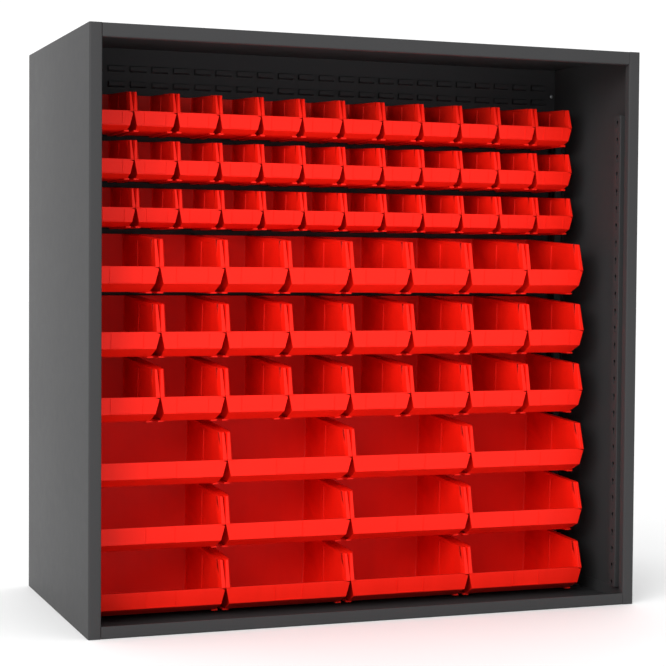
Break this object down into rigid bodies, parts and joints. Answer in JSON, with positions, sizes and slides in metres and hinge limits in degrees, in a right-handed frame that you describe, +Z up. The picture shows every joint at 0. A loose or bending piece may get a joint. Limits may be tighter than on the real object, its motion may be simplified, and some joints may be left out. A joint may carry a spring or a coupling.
{
  "type": "hanging bin storage cabinet",
  "caption": "Open-front steel cabinet with a louvred inner panel that carries rows of hang-on hopper bins in small, medium and wide sizes, and slotted shelf uprights on its sides.",
  "frame": {"origin": "centre of the cabinet's footprint, on the floor", "axes": "+Z up, -Y out of the open front, +X to the right as seen from the front"},
  "size_m": [1.219, 0.66, 1.219],
  "materials": {
    "cabinet_paint": "dark grey powder coat, slightly textured, satin",
    "panel_paint": "dark grey powder coat, satin",
    "rivet_steel": "zinc-plated rivet heads",
    "bin_plastic": "moulded red polypropylene, semi-gloss"
  },
  "bodies": {
    "cabinet": {"side_panel_left": "cabinet_paint", "side_panel_right": "cabinet_paint", "top_panel": "cabinet_paint", "floor_pan": "cabinet_paint", "back_panel": "panel_paint", "louvre_panel": "panel_paint", "panel_angle_left": "panel_paint", "panel_angle_right": "panel_paint", "panel_stiffener_upper": "panel_paint", "panel_stiffener_lower": "panel_paint", "panel_screws": "rivet_steel", "upright_front_left": "cabinet_paint", "upright_front_right": "cabinet_paint", "upright_rear_left": "cabinet_paint", "upright_rear_right": "cabinet_paint", "upright_rivets": "rivet_steel", "small_bins_row_1": "bin_plastic", "small_bins_row_2": "bin_plastic", "small_bins_row_3": "bin_plastic"},
    "small_bin_1_12": {"small_bin_1_12": "bin_plastic"},
    "small_bin_2_12": {"small_bin_2_12": "bin_plastic"},
    "small_bin_3_12": {"small_bin_3_12": "bin_plastic"},
    "medium_bin_1_1": {"medium_bin_1_1": "bin_plastic"},
    "medium_bin_1_2": {"medium_bin_1_2": "bin_plastic"},
    "medium_bin_1_3": {"medium_bin_1_3": "bin_plastic"},
    "medium_bin_1_4": {"medium_bin_1_4": "bin_plastic"},
    "medium_bin_1_5": {"medium_bin_1_5": "bin_plastic"},
    "medium_bin_1_6": {"medium_bin_1_6": "bin_plastic"},
    "medium_bin_1_7": {"medium_bin_1_7": "bin_plastic"},
    "medium_bin_1_8": {"medium_bin_1_8": "bin_plastic"},
    "medium_bin_2_1": {"medium_bin_2_1": "bin_plastic"},
    "medium_bin_2_2": {"medium_bin_2_2": "bin_plastic"},
    "medium_bin_2_3": {"medium_bin_2_3": "bin_plastic"},
    "medium_bin_2_4": {"medium_bin_2_4": "bin_plastic"},
    "medium_bin_2_5": {"medium_bin_2_5": "bin_plastic"},
    "medium_bin_2_6": {"medium_bin_2_6": "bin_plastic"},
    "medium_bin_2_7": {"medium_bin_2_7": "bin_plastic"},
    "medium_bin_2_8": {"medium_bin_2_8": "bin_plastic"},
    "medium_bin_3_1": {"medium_bin_3_1": "bin_plastic"},
    "medium_bin_3_2": {"medium_bin_3_2": "bin_plastic"},
    "medium_bin_3_3": {"medium_bin_3_3": "bin_plastic"},
    "medium_bin_3_4": {"medium_bin_3_4": "bin_plastic"},
    "medium_bin_3_5": {"medium_bin_3_5": "bin_plastic"},
    "medium_bin_3_6": {"medium_bin_3_6": "bin_plastic"},
    "medium_bin_3_7": {"medium_bin_3_7": "bin_plastic"},
    "medium_bin_3_8": {"medium_bin_3_8": "bin_plastic"},
    "wide_bin_1_1": {"wide_bin_1_1": "bin_plastic"},
    "wide_bin_1_2": {"wide_bin_1_2": "bin_plastic"},
    "wide_bin_1_3": {"wide_bin_1_3": "bin_plastic"},
    "wide_bin_1_4": {"wide_bin_1_4": "bin_plastic"},
    "wide_bin_2_1": {"wide_bin_2_1": "bin_plastic"},
    "wide_bin_2_2": {"wide_bin_2_2": "bin_plastic"},
    "wide_bin_2_3": {"wide_bin_2_3": "bin_plastic"},
    "wide_bin_2_4": {"wide_bin_2_4": "bin_plastic"},
    "wide_bin_3_1": {"wide_bin_3_1": "bin_plastic"},
    "wide_bin_3_2": {"wide_bin_3_2": "bin_plastic"},
    "wide_bin_3_3": {"wide_bin_3_3": "bin_plastic"},
    "wide_bin_3_4": {"wide_bin_3_4": "bin_plastic"}
  },
  "joints": [
    {"name": "small_bin_1_12_lift", "type": "slide", "parent": "cabinet", "child": "small_bin_1_12", "axis": [0, 0, 1], "range_m": [0, 0.007]},
    {"name": "small_bin_2_12_lift", "type": "slide", "parent": "cabinet", "child": "small_bin_2_12", "axis": [0, 0, 1], "range_m": [0, 0.007]},
    {"name": "small_bin_3_12_lift", "type": "slide", "parent": "cabinet", "child": "small_bin_3_12", "axis": [0, 0, 1], "range_m": [0, 0.007]},
    {"name": "medium_bin_1_1_lift", "type": "slide", "parent": "cabinet", "child": "medium_bin_1_1", "axis": [0, 0, 1], "range_m": [0, 0.007]},
    {"name": "medium_bin_1_2_lift", "type": "slide", "parent": "cabinet", "child": "medium_bin_1_2", "axis": [0, 0, 1], "range_m": [0, 0.007]},
    {"name": "medium_bin_1_3_lift", "type": "slide", "parent": "cabinet", "child": "medium_bin_1_3", "axis": [0, 0, 1], "range_m": [0, 0.007]},
    {"name": "medium_bin_1_4_lift", "type": "slide", "parent": "cabinet", "child": "medium_bin_1_4", "axis": [0, 0, 1], "range_m": [0, 0.007]},
    {"name": "medium_bin_1_5_lift", "type": "slide", "parent": "cabinet", "child": "medium_bin_1_5", "axis": [0, 0, 1], "range_m": [0, 0.007]},
    {"name": "medium_bin_1_6_lift", "type": "slide", "parent": "cabinet", "child": "medium_bin_1_6", "axis": [0, 0, 1], "range_m": [0, 0.007]},
    {"name": "medium_bin_1_7_lift", "type": "slide", "parent": "cabinet", "child": "medium_bin_1_7", "axis": [0, 0, 1], "range_m": [0, 0.007]},
    {"name": "medium_bin_1_8_lift", "type": "slide", "parent": "cabinet", "child": "medium_bin_1_8", "axis": [0, 0, 1], "range_m": [0, 0.007]},
    {"name": "medium_bin_2_1_lift", "type": "slide", "parent": "cabinet", "child": "medium_bin_2_1", "axis": [0, 0, 1], "range_m": [0, 0.007]},
    {"name": "medium_bin_2_2_lift", "type": "slide", "parent": "cabinet", "child": "medium_bin_2_2", "axis": [0, 0, 1], "range_m": [0, 0.007]},
    {"name": "medium_bin_2_3_lift", "type": "slide", "parent": "cabinet", "child": "medium_bin_2_3", "axis": [0, 0, 1], "range_m": [0, 0.007]},
    {"name": "medium_bin_2_4_lift", "type": "slide", "parent": "cabinet", "child": "medium_bin_2_4", "axis": [0, 0, 1], "range_m": [0, 0.007]},
    {"name": "medium_bin_2_5_lift", "type": "slide", "parent": "cabinet", "child": "medium_bin_2_5", "axis": [0, 0, 1], "range_m": [0, 0.007]},
    {"name": "medium_bin_2_6_lift", "type": "slide", "parent": "cabinet", "child": "medium_bin_2_6", "axis": [0, 0, 1], "range_m": [0, 0.007]},
    {"name": "medium_bin_2_7_lift", "type": "slide", "parent": "cabinet", "child": "medium_bin_2_7", "axis": [0, 0, 1], "range_m": [0, 0.007]},
    {"name": "medium_bin_2_8_lift", "type": "slide", "parent": "cabinet", "child": "medium_bin_2_8", "axis": [0, 0, 1], "range_m": [0, 0.007]},
    {"name": "medium_bin_3_1_lift", "type": "slide", "parent": "cabinet", "child": "medium_bin_3_1", "axis": [0, 0, 1], "range_m": [0, 0.007]},
    {"name": "medium_bin_3_2_lift", "type": "slide", "parent": "cabinet", "child": "medium_bin_3_2", "axis": [0, 0, 1], "range_m": [0, 0.007]},
    {"name": "medium_bin_3_3_lift", "type": "slide", "parent": "cabinet", "child": "medium_bin_3_3", "axis": [0, 0, 1], "range_m": [0, 0.007]},
    {"name": "medium_bin_3_4_lift", "type": "slide", "parent": "cabinet", "child": "medium_bin_3_4", "axis": [0, 0, 1], "range_m": [0, 0.007]},
    {"name": "medium_bin_3_5_lift", "type": "slide", "parent": "cabinet", "child": "medium_bin_3_5", "axis": [0, 0, 1], "range_m": [0, 0.007]},
    {"name": "medium_bin_3_6_lift", "type": "slide", "parent": "cabinet", "child": "medium_bin_3_6", "axis": [0, 0, 1], "range_m": [0, 0.007]},
    {"name": "medium_bin_3_7_lift", "type": "slide", "parent": "cabinet", "child": "medium_bin_3_7", "axis": [0, 0, 1], "range_m": [0, 0.007]},
    {"name": "medium_bin_3_8_lift", "type": "slide", "parent": "cabinet", "child": "medium_bin_3_8", "axis": [0, 0, 1], "range_m": [0, 0.007]},
    {"name": "wide_bin_1_1_lift", "type": "slide", "parent": "cabinet", "child": "wide_bin_1_1", "axis": [0, 0, 1], "range_m": [0, 0.007]},
    {"name": "wide_bin_1_2_lift", "type": "slide", "parent": "cabinet", "child": "wide_bin_1_2", "axis": [0, 0, 1], "range_m": [0, 0.007]},
    {"name": "wide_bin_1_3_lift", "type": "slide", "parent": "cabinet", "child": "wide_bin_1_3", "axis": [0, 0, 1], "range_m": [0, 0.007]},
    {"name": "wide_bin_1_4_lift", "type": "slide", "parent": "cabinet", "child": "wide_bin_1_4", "axis": [0, 0, 1], "range_m": [0, 0.007]},
    {"name": "wide_bin_2_1_lift", "type": "slide", "parent": "cabinet", "child": "wide_bin_2_1", "axis": [0, 0, 1], "range_m": [0, 0.007]},
    {"name": "wide_bin_2_2_lift", "type": "slide", "parent": "cabinet", "child": "wide_bin_2_2", "axis": [0, 0, 1], "range_m": [0, 0.007]},
    {"name": "wide_bin_2_3_lift", "type": "slide", "parent": "cabinet", "child": "wide_bin_2_3", "axis": [0, 0, 1], "range_m": [0, 0.007]},
    {"name": "wide_bin_2_4_lift", "type": "slide", "parent": "cabinet", "child": "wide_bin_2_4", "axis": [0, 0, 1], "range_m": [0, 0.007]},
    {"name": "wide_bin_3_1_lift", "type": "slide", "parent": "cabinet", "child": "wide_bin_3_1", "axis": [0, 0, 1], "range_m": [0, 0.007]},
    {"name": "wide_bin_3_2_lift", "type": "slide", "parent": "cabinet", "child": "wide_bin_3_2", "axis": [0, 0, 1], "range_m": [0, 0.007]},
    {"name": "wide_bin_3_3_lift", "type": "slide", "parent": "cabinet", "child": "wide_bin_3_3", "axis": [0, 0, 1], "range_m": [0, 0.007]},
    {"name": "wide_bin_3_4_lift", "type": "slide", "parent": "cabinet", "child": "wide_bin_3_4", "axis": [0, 0, 1], "range_m": [0, 0.007]}
  ]
}
